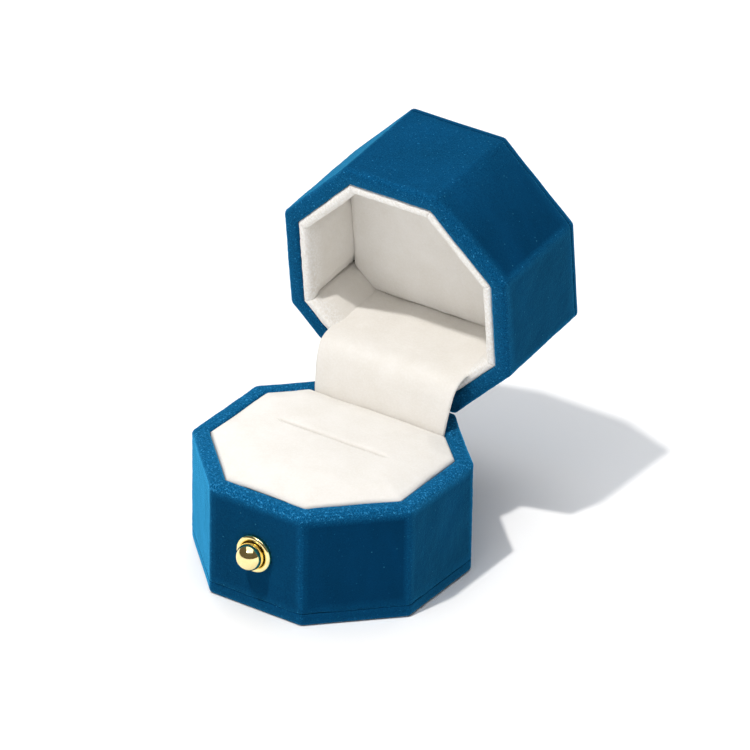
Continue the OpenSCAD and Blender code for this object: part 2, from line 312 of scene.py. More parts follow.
def blue_velvet():
    """Short teal-blue pile: dark face-on, bright at a glance, with loose fibres and a little lint; the
    fibres are laid on thicker as painted highlight on corners, lips, rims and the lid's front faces.
    """
    s = Shader("blue_velvet", Roughness=1.0, Sheen_Weight=1.0, Sheen_Roughness=0.38,
               Sheen_Tint=(0.06, 0.50, 0.92, 1), Specular_IOR_Level=0.0)
    deep = (0.0006, 0.021, 0.062, 1)
    lit = (0.0010, 0.031, 0.092, 1)
    fibre = (0.010, 0.182, 0.430, 1)
    tip = (0.050, 0.370, 0.740, 1)
    lint = (0.022, 0.130, 0.230, 1)
    # This attribute is loose pile and painted highlight: it lays fibre colour and light tips on thicker
    # at corners, lips, rims and the lid's front faces, where sheen lies.
    nap_and_sheen = s.attribute("nap_and_sheen")
    pile = s.mix(s.remap(s.noise(90, 3, 0.6, (1, 1, 0.4)), 0.3, 0.7), deep, lit)
    grain = s.remap(s.noise(4300, 2, 0.6), 0.25, 0.80)
    pile = s.mix(s.math("MULTIPLY", grain, s.remap(nap_and_sheen, 0, 1, 0.05, 0.85)), pile, fibre)
    raised = s.math("ADD", s.noise(2500, 2, 0.6), s.math("MULTIPLY", nap_and_sheen, 0.17))
    pile = s.mix(s.remap(raised, 0.73, 0.86, 0.0, 0.6), pile, tip)
    s.paint(s.mix(s.flecks(430, 0.062), pile, lint))
    s.bump(s.math("ADD", s.noise(5200, 2, 0.7), s.noise(1800, 2, 0.6)), 0.4, 0.11 * MM)
    return s.material


def cream_velvet():
    """Soft cream velveteen with a fine, slightly uneven pile."""
    s = Shader("cream_velvet", Roughness=0.95, Sheen_Weight=0.12, Sheen_Roughness=0.5,
               Sheen_Tint=(1.0, 0.98, 0.94, 1), Specular_IOR_Level=0.1)
    shade = (0.765, 0.738, 0.692, 1)
    light = (0.812, 0.790, 0.755, 1)
    white = (0.90, 0.90, 0.90, 1)
    cloudy = s.noise(160, 4, 0.6)
    colour = s.mix(s.remap(cloudy, 0.3, 0.7), shade, light)
    specks = s.math("MULTIPLY", s.remap(s.noise(2400, 2, 0.6), 0.4, 0.7), s.attribute("nap_and_sheen"))
    s.paint(s.mix(specks, colour, white))
    s.bump(s.math("ADD", s.noise(4200, 2, 0.7), s.noise(1100, 2, 0.5)), 0.35, 0.12 * MM)
    return s.material


def gold_plate():
    """Polished gold plate with faint handling marks."""
    s = Shader("gold_plate", Metallic=1.0)
    deep = (0.93, 0.76, 0.33, 1)
    pale = (0.98, 0.84, 0.44, 1)
    rub = s.noise(900, 4, 0.6)
    s.paint(s.mix(s.remap(rub, 0.35, 0.65), deep, pale))
    s.polish(s.remap(rub, 0.3, 0.7, 0.06, 0.14))
    s.bump(s.noise(420, 2, 0.5), 0.06, 0.05 * MM)
    return s.material


def steel(name, dark, light, rough):
    """Pressed steel, brushed along the pin."""
    s = Shader(name, Metallic=1.0)
    brushed = s.noise(900, 3, 0.6, (0.06, 1, 1))
    s.paint(s.mix(brushed, dark, light))
    s.polish(s.remap(brushed, 0.3, 0.7, rough, rough + 0.14))
    s.bump(brushed, 0.15, 0.02 * MM)
    return s.material


def matt(name, dark, light, scale, rough):
    """A dull, slightly mottled board, plastic or foam."""
    s = Shader(name, Roughness=rough)
    mottled = s.noise(scale, 5, 0.65)
    s.paint(s.mix(s.remap(mottled, 0.3, 0.7), dark, light))
    s.bump(s.noise(scale * 4, 3, 0.6), 0.4, 0.08 * MM)
    return s.material


BLUE = blue_velvet()
CREAM = cream_velvet()
GOLD = gold_plate()
FINISH = {
    "hinge_steel": steel("hinge_steel", (0.42, 0.42, 0.43, 1), (0.72, 0.72, 0.73, 1), 0.22),
    "spring_steel": steel("spring_steel", (0.30, 0.31, 0.33, 1), (0.52, 0.53, 0.55, 1), 0.18),
    "magnet": steel("magnet", (0.55, 0.55, 0.57, 1), (0.75, 0.75, 0.77, 1), 0.12),
    "card": matt("card", (0.36, 0.31, 0.24, 1), (0.50, 0.45, 0.36, 1), 500, 0.85),
    "grey_board": matt("grey_board", (0.28, 0.26, 0.23, 1), (0.42, 0.40, 0.36, 1), 400, 0.9),
    "moulded_shell": matt("moulded_shell", (0.012, 0.014, 0.02, 1), (0.03, 0.035, 0.045, 1), 700, 0.45),
    "foam": matt("foam", (0.60, 0.57, 0.50, 1), (0.78, 0.75, 0.68, 1), 1400, 0.95),
    "blue_velvet": BLUE,
    "cream_velvet": CREAM,
    "gold_plate": GOLD,
}
for part in frame["record"]["subparts"]:
    set_material(frame["nodes"][part["node"]], FINISH[part["material_slot"]])

# ---------- Velvet covers of the box ----------

RIGHT_ANGLE = math.pi / 2
CORNER_R = 1.3 * MM
INNER_CORNER_R = 0.35 * MM
SIDE_STEPS = 40
CORNER_STEPS = 7
COVER_T = 0.5 * MM  # thickness of the velvet
RIM_W = HALF - PANEL_OUT - 0.05 * MM
LIP_R = 0.95 * MM
LIP_R_AT_HINGE = 0.25 * MM
INNER_LIP_R = 0.7 * MM
FOOT_R = 0.2 * MM  # rounding of the velvet on each side of the seam
TURN_IN = 6.0 * MM  # how far the velvet goes down inside the wall
SEAM_GAP = 0.06 * MM
SEAM_WAVE = 0.14 * MM
CORNER_SHEEN = 0.42  # painted highlight: loose pile laid on the corners so they read lighter, 0 to 1
FOOT_NAP = 0.3  # loose pile beside the seam
HINGE_HALF_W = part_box("hinge_pin")[1].x + 0.35 * MM
NOTCH_R = 1.35 * MM  # room round the hinge's knuckles
LEAF_ROOM = 0.72 * MM  # how far the velvet inside is drawn back behind the leaves
BEVEL_SOFT = 0.12 * MM
HINGE_REACH = 3 * MM  # how far in front of the pin the rim's lip starts to tighten
HINGE_FADE = 2.5 * MM


def octagon_ring(apothem, corner_r):
    """Points of an octagon with rounded corners, the same number for every size."""
    inner = apothem - corner_r
    reach = inner * math.tan(HALF_EIGHTH)
    points = []
    for k in range(8):
        a = k * EIGHTH
        out, along = np.array((math.cos(a), math.sin(a))), np.array((-math.sin(a), math.cos(a)))
        for step in np.linspace(-reach, reach, SIDE_STEPS, endpoint=False):
            points.append(out * apothem + along * step)
        corner = a + HALF_EIGHTH
        centre = inner / math.cos(HALF_EIGHTH) * np.array((math.cos(corner), math.sin(corner)))
        for turn in np.linspace(a, a + EIGHTH, CORNER_STEPS, endpoint=False):
            points.append(centre + corner_r * np.array((math.cos(turn), math.sin(turn))))
    return np.array(points)


OUTER = octagon_ring(HALF, CORNER_R)
INNER = octagon_ring(HALF - RIM_W, INNER_CORNER_R)


def plan(inset):
    """The wall's plan, drawn in by inset: one number, or one for each point."""
    share = np.broadcast_to(inset / RIM_W, len(OUTER))[:, None]
    return OUTER + (INNER - OUTER) * share


def corner_sheen_share():
    """How near each point of a ring is to a corner, 1 on the corner and 0 on the faces; it sets where
    corners are lightened as painted highlight.
    """
    side, corner = np.zeros(SIDE_STEPS), np.ones(CORNER_STEPS)
    side[:2] = side[-1:] = 0.5
    return np.tile(np.concatenate([side, corner]), 8)


CORNER_SHEEN_SHARE = corner_sheen_share()
# front: painted light, loose pile that lightens the front faces, most on the lid, whose front faces look
# up into the key light when it is open. rim: loose pile on the rim and its lips, partly real fuzz and
# partly painted highlight.
PileAndSheen = namedtuple("PileAndSheen", "front rim")
BASE_PILE_AND_SHEEN = PileAndSheen(front=0.08, rim=1.0)
LID_PILE_AND_SHEEN = PileAndSheen(front=0.42, rim=0.65)


class Skin:
    """Rings of points, one above another, that become a sheet of velvet."""

    def __init__(self):
        self.rows, self.nap_and_sheen = [], []

    def add(self, ring, height, loose, corner_sheen=CORNER_SHEEN):
        """Adds a ring with its height and loose pile; its corners get at least the painted corner
        highlight.
        """
        self.rows.append(np.column_stack([ring, np.broadcast_to(height, len(ring))]))
        self.nap_and_sheen.append(np.maximum(loose, corner_sheen * CORNER_SHEEN_SHARE))

    def build(self, name, capped=False):
        faces = grid_faces(len(self.rows), len(CORNER_SHEEN_SHARE), True)
        if capped:
            faces += end_caps(len(self.rows), len(CORNER_SHEEN_SHARE))
        return make_object(name, np.concatenate(self.rows), faces, np.concatenate(self.nap_and_sheen))


def hinge_share(points):
    """1 where the hinge is let into the rear wall, falling to 0 at its sides."""
    across = smoothstep((HINGE_HALF_W + 0.2 * MM - np.abs(points[:, 0])) / (0.4 * MM))
    return across * (points[:, 1] > 0)


def rim_height(ring, rim, pin_level):
    """The rim's height at each point: level, bevelled behind the pin, and notched for the knuckles."""
    behind = ring[:, 1] - PIN.y
    slope = np.log1p(np.exp(np.clip(behind / BEVEL_SOFT, -30, 30))) * BEVEL_SOFT
    height = rim - slope
    notch = pin_level - np.sqrt(np.clip(NOTCH_R**2 - behind**2, 0, None))
    inside = hinge_share(ring) * (np.abs(behind) < NOTCH_R)
    return height * (1 - inside) + np.minimum(height, notch) * inside


def wavy(ring, seam, seed):
    """The seam between a wall and its end board, a little uneven where the velvet is tucked under."""
    waves = [noise.noise((x / (3 * MM), y / (3 * MM), seed)) for x, y in ring]
    return seam + SEAM_WAVE * np.array(waves)


def add_wall(skin, seam, rim_level, lip, pile, seed):
    """The tucked foot of the velvet, then the wall up to where its lip starts to turn.

    Its loose pile fades out over the lowest tenth and comes back over the top twelfth, partly real fuzz
    and partly a painted highlight along the lip; the front faces get more as painted light.
    """
    for turn in np.linspace(0, RIGHT_ANGLE, 5):
        ring = plan(FOOT_R * (1 - math.sin(turn)))
        skin.add(ring, wavy(ring, seam, seed) + FOOT_R * (1 - math.cos(turn)), FOOT_NAP)
    foot = wavy(OUTER, seam, seed) + FOOT_R
    top = rim_level(OUTER) - lip
    # Painted light: the front faces get more loose pile so they read lighter, fading towards the back.
    front_sheen = pile.front * np.clip(-OUTER[:, 1] / HALF, 0, 1)**4
    for t in np.linspace(0, 1, 34)[1:]:
        near_foot = FOOT_NAP - t * 3
        near_rim = pile.rim * (t * 12 - 11)
        skin.add(OUTER, foot + t * (top - foot), np.maximum(front_sheen, max(near_foot, near_rim)))


def add_rim(skin, rim_level, lip, loose):
    """The velvet round the outer lip, across the rim and round the inner lip."""
    for turn in np.linspace(0, RIGHT_ANGLE, 8)[1:]:
        ring = plan(lip * (1 - math.cos(turn)))
        skin.add(ring, rim_level(ring) - lip * (1 - math.sin(turn)), loose)
    for t in np.linspace(0, 1, 10)[1:]:
        ring = plan(lip + t * (RIM_W - lip - INNER_LIP_R))
        skin.add(ring, rim_level(ring) + 0.05 * MM * math.sin(math.pi * t), loose)
    for turn in np.linspace(0, RIGHT_ANGLE, 7)[1:]:
        ring = plan(RIM_W - INNER_LIP_R * (1 - math.sin(turn)))
        skin.add(ring, rim_level(ring) - INNER_LIP_R * (1 - math.cos(turn)), loose)


def clear_hinge(obj):
    """Draws the velvet's inner face back behind the hinge's leaves."""
    points = coordinates(obj)
    inside = points[:, 1] < SHELL_IN
    points[:, 1] += LEAF_ROOM * hinge_share(points) * inside
    put_coordinates(obj, points)


def open_hole(obj, centre, radius):
    """Cuts a round hole in the front wall's velvet."""
    work = bmesh.new()
    work.from_mesh(obj.data)
    inside = {}
    for v in work.verts:
        reach = math.hypot(v.co.x - centre.x, v.co.z - centre.z)
        if v.co.y < -HALF + 1 * MM and reach < radius:
            inside[v] = radius / max(reach, 0.01 * MM)
    cut = [f for f in work.faces if all(v in inside for v in f.verts)]
    bmesh.ops.delete(work, geom=cut, context="FACES")
    for v, stretch in inside.items():
        if v.is_valid:
            v.co.x = centre.x + (v.co.x - centre.x) * stretch
            v.co.z = centre.z + (v.co.z - centre.z) * stretch
    work.to_mesh(obj.data)
    work.free()


def wall_cover(name, seam, rim, pin_level, pile, seed, hole=None):
    """The velvet round one half's wall, over its rim and down inside, with its rim up."""
    def rim_level(ring):
        return rim_height(ring, rim, pin_level)

    near_hinge = smoothstep((OUTER[:, 1] - PIN.y + HINGE_REACH) / HINGE_FADE)
    lip = LIP_R + (LIP_R_AT_HINGE - LIP_R) * near_hinge
    skin = Skin()
    add_wall(skin, seam, rim_level, lip, pile, seed)
    add_rim(skin, rim_level, lip, pile.rim)
    for depth in np.linspace(INNER_LIP_R, TURN_IN, 9)[1:]:
        skin.add(INNER, rim - depth, 0.5)
    obj = skin.build(name)
    clear_hinge(obj)
    roughen(obj, 0.07 * MM, 5 * MM, seed)
    roughen(obj, 0.045 * MM, 0.8 * MM, seed + 9)
    if hole:
        open_hole(obj, *hole)
    thick = obj.modifiers.new("thickness", "SOLIDIFY")
    thick.thickness = COVER_T
    thick.offset = -1
    apply_modifiers(obj)
    set_material(obj, BLUE)
    return obj


def end_cover(name, seam, seed):
    """The velvet wrapped round an end board, its flat face down at z = 0."""
    edge_r = 0.9 * MM
    skin = Skin()

    def add(inset, height, loose, corner_sheen=CORNER_SHEEN):
        skin.add(octagon_ring(HALF - inset, max(CORNER_R - inset, INNER_CORNER_R)), height, loose, corner_sheen)

    for t in np.linspace(0, 1, 40)[:-1]:
        add((HALF - 1 * MM) * (1 - t) + edge_r * t, 0, 0.15, 0)
    for turn in np.linspace(0, RIGHT_ANGLE, 8):
        # The rounded edge carries more loose pile, partly real fuzz and partly a painted highlight along
        # the edge.
        add(edge_r * (1 - math.sin(turn)), edge_r * (1 - math.cos(turn)), 0.45)
    for height in np.linspace(edge_r, seam - FOOT_R, 5)[1:]:
        add(0, height, FOOT_NAP)
    for turn in np.linspace(0, RIGHT_ANGLE, 5)[1:]:
        add(FOOT_R * (1 - math.cos(turn)), seam - FOOT_R * (1 - math.sin(turn)), FOOT_NAP)
    add(HALF - SHELL_IN - 0.2 * MM, seam, 0.2, 0)
    obj = skin.build(name, capped=True)
    roughen(obj, 0.05 * MM, 5 * MM, seed)
    points = coordinates(obj)
    points[:, 2] = np.maximum(points[:, 2], 0)
    put_coordinates(obj, points)
    set_material(obj, BLUE)
    return obj


button_hole = (BUTTON, (NECK_R + FLANGE_R) / 2)
base_cover = wall_cover("base_cover", BASE_SEAM + SEAM_GAP, BASE_RIM, PIN.z, BASE_PILE_AND_SHEEN, 1, button_hole)
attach(base_cover, "base")
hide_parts("base_velvet")

bottom_cover = end_cover("bottom_cover", BASE_SEAM, 2)
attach(bottom_cover, "base")
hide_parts("bottom_velvet")

lid_cover = wall_cover("lid_cover", LID_SEAM + SEAM_GAP, LID_RIM, SHUT_TOP - PIN.z, LID_PILE_AND_SHEEN, 3)
transform(lid_cover, OPENED @ upside_down(SHUT_TOP))
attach(lid_cover, "lid")
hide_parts("lid_velvet")

top_cover = end_cover("top_cover", LID_SEAM, 4)
transform(top_cover, OPENED @ upside_down(SHUT_TOP))
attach(top_cover, "lid")
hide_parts("lid_top_velvet")

# ---------- Lid lining ----------

PANEL_COLUMNS = 40
PANEL_TUCK = 1.6 * MM  # how far the panels go on past the ceiling pad's face
MOUTH_R = 0.75 * MM
ROLL_W = 0.9 * MM
ROLL_DEPTH = 1.5 * MM
FUZZ_DEPTH = 3.5 * MM  # how far in from the mouth the loose pile fades
CREASE = 0.7 * MM  # how far a panel's face draws back to the wall at its sides
CREASE_SHARE = 0.32
PANEL_CROWN = 0.35 * MM
MOUTH_LEVEL = 1 * MM  # how far in from its mouth a panel starts to swell
MOUTH_FADE = 3 * MM


def panel_section():
    """A panel's outline from its deep end, round its mouth and back: apothem, height and loose pile."""
    end = CEILING + PANEL_TUCK
    section = []
    for z in np.linspace(end, PANEL_MOUTH + ROLL_DEPTH, 24):
        section.append((PANEL_IN, z, max(0.15, 1 - (z - PANEL_MOUTH - ROLL_DEPTH) / FUZZ_DEPTH)))
    for turn in np.linspace(0, RIGHT_ANGLE, 10)[1:]:
        apothem = PANEL_IN + ROLL_W * (1 - math.cos(turn))
        section.append((apothem, PANEL_MOUTH + ROLL_DEPTH * (1 - math.sin(turn)), 1))
    for turn in np.linspace(0, RIGHT_ANGLE, 7):
        apothem = PANEL_OUT - MOUTH_R * (1 - math.sin(turn))
        section.append((apothem, PANEL_MOUTH + MOUTH_R * (1 - math.cos(turn)), 1))
    section.append((PANEL_OUT, end, 0.3))
    return section


def lining_panel(name, angle, seed):
    """A velvet-wrapped padded panel on one wall of the shut lid, mitred at its sides."""
    section = panel_section()
    points, nap_and_sheen = [], []
    for t in np.linspace(-1, 1, PANEL_COLUMNS):
        edge = 1 - smoothstep((1 - abs(t)) / CREASE_SHARE)
        swell = CREASE * edge - PANEL_CROWN * (1 - t * t)
        for apothem, z, loose in section:
            front = apothem < (PANEL_IN + PANEL_OUT) / 2
            deep = smoothstep((z - PANEL_MOUTH - MOUTH_LEVEL) / MOUTH_FADE)
            half = apothem * math.tan(HALF_EIGHTH)
            points.append((apothem + swell * deep * front, t * half, z))
            nap_and_sheen.append(loose)
    columns = len(section)
    faces = grid_faces(PANEL_COLUMNS, columns, True) + end_caps(PANEL_COLUMNS, columns)
    obj = make_object(name, points, faces, nap_and_sheen)
    for mitre in obj.data.polygons[-2:]:
        mitre.use_smooth = False
    roughen(obj, 0.06 * MM, 4 * MM, seed)
    roughen(obj, 0.08 * MM, 0.7 * MM, seed + 5)
    transform(obj, OPENED @ Matrix.Rotation(angle, 4, "Z"))
    set_material(obj, CREAM)
    return obj


WALLS = {
    "right": 0,
    "rear_right": 1,
    "rear_left": 3,
    "left": 4,
    "front_left": 5,
    "front": 6,
    "front_right": 7,
}
for wall, eighth in WALLS.items():
    panel = lining_panel(f"{wall}_panel", eighth * EIGHTH, 10 + eighth)
    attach(panel, "lid")
    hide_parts(f"lining_{wall}")

# ---------- Cushion and ceiling pad ----------

CALM_NAP = 0.2  # loose pile on smooth cream velvet
SWELL_FRAMES = 20
SWELL_LIMIT = 0.6 * MM
SLIT_HALF_L = 12.5 * MM
SLIT_DEPTH = 1.6 * MM
SLIT_W = 0.13 * MM
SLIT_END = 1.5 * MM
SLIT_LIP_DEPTH = 0.35 * MM
SLIT_LIP_W = 0.55 * MM
SLIT_ROWS = np.array((0.1, 0.25, 0.5, 0.8, 1.2)) * MM  # close rows of points each side of the slit
SLIT_ROOM = 1.3 * MM


def pad_rows(apothem, back, spacing, fine):
    """The y of each row of a pad, with rows at its corners; fine adds close rows where its slit is."""
    turn_y = apothem * (math.sqrt(2) - 1)
    stops = [-apothem, -turn_y, min(turn_y, back), back]
    rows = [back]
    for a, b in zip(stops, stops[1:]):
        rows += list(np.linspace(a, b, max(2, int((b - a) / spacing) + 1)))[:-1]
    if fine:
        rows = [y for y in rows if abs(y) > SLIT_ROOM] + [0.0, *SLIT_ROWS, *-SLIT_ROWS]
    return sorted(rows)


def pad_top(ys, columns, apothem, back, top, crown, rise, roll):
    """The points of a pad's top: level rows, rolled off at the edge and crowned in the middle."""
    corner = apothem * math.sqrt(2)
    face = [(u * min(apothem, corner - abs(y)), y) for y in ys for u in np.linspace(-1, 1, columns)]
    x, y = np.array(face).T
    edge = np.minimum(apothem - np.abs(x), apothem + y)
    edge = np.minimum(edge, (corner - np.abs(x) - np.abs(y)) / math.sqrt(2))
    edge = np.minimum(edge, back - y)
    near = np.clip(roll - edge, 0, roll)
    z = top - (roll - np.sqrt(roll**2 - near**2)) + crown * smoothstep(edge / rise)
    return [tuple(p) for p in np.column_stack([x, y, z])]


def outline(rows, columns):
    """The numbers of a grid's edge points, in order round it."""
    ring = list(range(columns)) + [r * columns + columns - 1 for r in range(1, rows)]
    ring += [(rows - 1) * columns + c for c in range(columns - 2, -1, -1)]
    return ring + [r * columns for r in range(rows - 2, 0, -1)]


def pad(name, apothem, back, levels, crown, rise, roll, spacing, fine=False):
    """A closed pad: an octagon with a straight back edge. levels: its top, then down its sides."""
    ys = pad_rows(apothem, back, spacing, fine)
    rows, columns = len(ys), int(2 * apothem / spacing) + 1
    points = pad_top(ys, columns, apothem, back, levels[0], crown, rise, roll)
    faces = grid_faces(rows, columns, False)
    ring = outline(rows, columns)
    for level in levels[1:]:
        below = list(range(len(points), len(points) + len(ring)))
        points += [(points[i][0], points[i][1], level) for i in ring]
        for k in range(len(ring)):
            m = (k + 1) % len(ring)
            faces.append((ring[k], ring[m], below[m], below[k]))
        ring = below
    faces.append(tuple(ring))
    return make_object(name, points, faces, np.full(len(points), CALM_NAP))


def inflate(obj, pressure, free):
    """Swells a closed pad by cloth simulation, a little at most. free picks the points that may move."""
    rest = np.array([v.co for v in obj.data.vertices])
    held = obj.vertex_groups.new(name="held")
    for v in obj.data.vertices:
        held.add([v.index], 0.0 if free(v.co) else 1.0, "REPLACE")
    cloth = obj.modifiers.new("swell", "CLOTH")
    cloth.settings.quality = 6
    cloth.settings.mass = 0.05
    cloth.settings.tension_stiffness = 18
    cloth.settings.compression_stiffness = 18
    cloth.settings.shear_stiffness = 8
    cloth.settings.bending_stiffness = 0.4
    cloth.settings.use_pressure = True
    cloth.settings.uniform_pressure_force = pressure
    cloth.settings.effector_weights.gravity = 0
    cloth.settings.vertex_group_mass = "held"
    cloth.collision_settings.use_collision = False
    scene = bpy.context.scene
    for step in range(1, SWELL_FRAMES + 1):
        scene.frame_set(step)
    apply_modifiers(obj)
    scene.frame_set(1)
    for v, home in zip(obj.data.vertices, rest):
        move = v.co - Vector(home)
        if move.length > SWELL_LIMIT:
            v.co = Vector(home) + move * (SWELL_LIMIT / move.length)


def press_slit(obj):
    """Draws the middle of the cushion down into the closed slit that holds a ring."""
    for v in obj.data.vertices:
        if v.co.z < CUSHION_HIGH.z - 3 * MM:
            continue
        ends = float(smoothstep((SLIT_HALF_L - abs(v.co.x)) / SLIT_END))
        lip = math.exp(-((v.co.y / SLIT_LIP_W) ** 2))
        slit = math.exp(-((v.co.y / SLIT_W) ** 2))
        v.co.z -= ends * (SLIT_LIP_DEPTH * lip + SLIT_DEPTH * slit)


POCKET_HALF_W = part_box("bezel_nut")[1].x + 0.7 * MM
POCKET_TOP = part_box("base_magnet")[1].z + 0.6 * MM
POCKET_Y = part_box("button_ball")[1].y + BUTTON_TRAVEL + 0.3 * MM
BOARD_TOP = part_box("cushion_board")[1].z
SIDES_START = POCKET_TOP + 0.15 * MM  # below this the cushion keeps its shape


def open_pocket(obj):
    """Draws the front of the cushion back, round the button's nut, arm and magnet."""
    points = coordinates(obj)
    inside = (points[:, 2] < POCKET_TOP + 0.01 * MM) & (np.abs(points[:, 0]) < POCKET_HALF_W)
    inside &= points[:, 1] < POCKET_Y
    points[inside, 1] = POCKET_Y
    put_coordinates(obj, points)


def make_cushion():
    """The cushion: swelled, slit for a ring, and hollowed at its front for the catch."""
    sides = [POCKET_TOP + 0.1 * MM, *np.linspace(POCKET_TOP, BOARD_TOP + 0.05 * MM, 6)]
    obj = pad("cushion", -CUSHION_LOW.y, CUSHION_HIGH.y + 0.2 * MM, [CUSHION_HIGH.z, *sides],
              crown=1.2 * MM, rise=4.5 * MM, roll=0.5 * MM, spacing=0.62 * MM, fine=True)
    inflate(obj, 3.0, lambda p: p.z > SIDES_START)
    press_slit(obj)
    roughen(obj, 0.25 * MM, 9 * MM, 21, above=SIDES_START)
    roughen(obj, 0.03 * MM, 0.9 * MM, 22, above=SIDES_START)
    open_pocket(obj)
    set_material(obj, CREAM)
    return obj


cushion = make_cushion()
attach(cushion, "base")
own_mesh(cushion)
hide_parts("cushion_cover", "cushion_foam")

CEILING_T = 2.2 * MM
CEILING_EDGE = 0.8 * MM


def make_ceiling_cushion():
    """The padded ceiling, face down in the shut lid, then turned open with it."""
    levels = [CEILING_T, CEILING_EDGE, 0]
    obj = pad("ceiling_cushion", PANEL_IN + 0.2 * MM, FLOOR_Y + 0.5 * MM, levels,
              crown=0.4 * MM, rise=5 * MM, roll=0.9 * MM, spacing=0.9 * MM)
    inflate(obj, 2.5, lambda p: p.z > CEILING_EDGE)
    roughen(obj, 0.12 * MM, 6 * MM, 23)
    transform(obj, OPENED @ upside_down(CEILING + CEILING_T))
    set_material(obj, CREAM)
    return obj


ceiling_pad = make_ceiling_cushion()
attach(ceiling_pad, "lid")
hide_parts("ceiling_pad")

# ---------- Hinge flap ----------

FLAP_HALF_W = 14.8 * MM
FLAP_SPREAD = 1.2 * MM
FLAP_HALF_T = 0.4 * MM
FLAP_TUCK = 3.0 * MM  # length hidden behind the cushion
FLAP_LEAN = math.radians(78)  # how steeply it leaves the cushion
FLAP_LEAVE = 9.0 * MM  # pull of its bow at the cushion and at the lid's mouth
FLAP_ARRIVE = 5.0 * MM


def open_point(y, z):
    """A point of the shut lid's Y-Z plane, where it is with the lid open."""
    p = OPENED @ Vector((0, y, z))
    return np.array((p.y, p.z))


def bezier(a, b, c, d, count):
    """Points of a curve from a to d that leaves towards b and arrives from c."""
    t = np.linspace(0, 1, count)[:, None]
    return (1 - t)**3 * a + 3 * t * (1 - t)**2 * b + 3 * t**2 * (1 - t) * c + t**3 * d


def flap_route():
    """The flap's outer line in the Y-Z plane: up behind the cushion, over, and along the lining."""
    start = np.array((FLAP_LOW.y + 0.15 * MM, CUSHION_HIGH.z))
    mouth = open_point(FLOOR_Y, PANEL_MOUTH + 0.6 * MM)
    inner = open_point(FLOOR_Y + 0.2 * MM, CEILING + 0.8 * MM)
    leave = start + FLAP_LEAVE * np.array((math.cos(FLAP_LEAN), math.sin(FLAP_LEAN)))
    arrive = mouth - FLAP_ARRIVE * (inner - mouth) / np.linalg.norm(inner - mouth)
    tucked = [start - (0, t) for t in np.linspace(FLAP_TUCK, 0.4 * MM, 6)]
    bowed = bezier(start, leave, arrive, mouth, 34)
    lining = [mouth + (inner - mouth) * t for t in np.linspace(0, 1, 28)[2:]]
    route = np.array([*tucked, *bowed, *lining])
    for _ in range(4):
        route[1:-1] = route[1:-1] * 0.5 + (route[:-2] + route[2:]) * 0.25
    return route


def flap_section():
    """The strip's outline: share of its half width, height, and bulge of its rounded edges."""
    half_t = FLAP_HALF_T
    flat = 1 - half_t / FLAP_HALF_W
    round_edge = np.linspace(0, math.pi, 7)[1:-1]
    section = [(u, half_t, 0) for u in np.linspace(-flat, flat, 46)]
    section += [(flat, half_t * math.cos(a), half_t * math.sin(a)) for a in round_edge]
    section += [(u, -half_t, 0) for u in np.linspace(flat, -flat, 46)]
    section += [(-flat, -half_t * math.cos(a), -half_t * math.sin(a)) for a in round_edge]
    return section


def make_flap():
    """The flap as one strip, a little wider at the lid than at the cushion, and its length."""
    route = flap_route()
    steps = np.linalg.norm(np.diff(route, axis=0), axis=1)
    along = np.concatenate([[0], np.cumsum(steps)])
    tangent = np.gradient(route, axis=0)
    tangent /= np.linalg.norm(tangent, axis=1)[:, None]
    normal = np.column_stack([-tangent[:, 1], tangent[:, 0]])
    section = flap_section()
    points = []
    for place, out, run in zip(route, normal, along):
        width = FLAP_HALF_W + FLAP_SPREAD * smoothstep(run / along[-1] * 1.6)
        for u, h, bulge in section:
            at = place + out * (h - FLAP_HALF_T)
            points.append((u * width + bulge, at[0], at[1]))
    faces = grid_faces(len(route), len(section), True) + end_caps(len(route), len(section))
    obj = make_object("flap", points, faces, np.full(len(points), CALM_NAP))
    roughen(obj, 0.3 * MM, 9 * MM, 31)
    roughen(obj, 0.03 * MM, 0.9 * MM, 32)
    set_material(obj, CREAM)
    return obj, float(along[-1])


flap, flap_length = make_flap()
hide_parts("hinge_flap", "lining_hinge_side")
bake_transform(flap)

# ---------- Button ----------


def lathe(name, profile, centre, steps=72):
    """Turns (radius, y) points round the button's axis, along Y."""
    points = []
    for turn in np.linspace(0, 2 * math.pi, steps, endpoint=False):
        for r, y in profile:
            points.append((centre.x + r * math.sin(turn), y, centre.z + r * math.cos(turn)))
    columns = len(profile)
    faces = []
    for k in range(steps):
        m = (k + 1) % steps
        for c in range(columns - 1):
            faces.append((k * columns + c, k * columns + c + 1, m * columns + c + 1, m * columns + c))
    obj = make_object(name, points, faces)
    work = bmesh.new()
    work.from_mesh(obj.data)
    bmesh.ops.remove_doubles(work, verts=work.verts, dist=1e-6)
    bmesh.ops.recalc_face_normals(work, faces=work.faces)
    work.to_mesh(obj.data)
    work.free()
    return obj


def arc(centre, radius, start, end, steps):
    """Points on a quarter or other arc, as (radius, y); angles in degrees from +radius towards +y."""
    turns = np.radians(np.linspace(start, end, steps))
    return [(centre[0] + radius * math.cos(t), centre[1] + radius * math.sin(t)) for t in turns]


def make_bezel():
    """The round-faced flange with its neck, bored for the ball and its stem."""
    ring_r = (FLANGE_R - BORE_R) / 2
    guide_r = STEM_R + 0.05 * MM
    guide_y = BEZEL_HIGH.y - 0.8 * MM
    edge_r = 0.12 * MM
    profile = [(guide_r, BEZEL_HIGH.y), (guide_r, guide_y), (BORE_R, guide_y)]
    profile += arc((BORE_R + ring_r, BEZEL_LOW.y + ring_r), ring_r, 180, 360, 28)
    profile += arc((FLANGE_R - edge_r, -HALF - edge_r), edge_r, 0, 90, 4)
    profile += [(NECK_R, -HALF), (NECK_R, BEZEL_HIGH.y), (guide_r, BEZEL_HIGH.y)]
    obj = lathe("bezel", profile, BUTTON)
    set_material(obj, GOLD)
    return obj


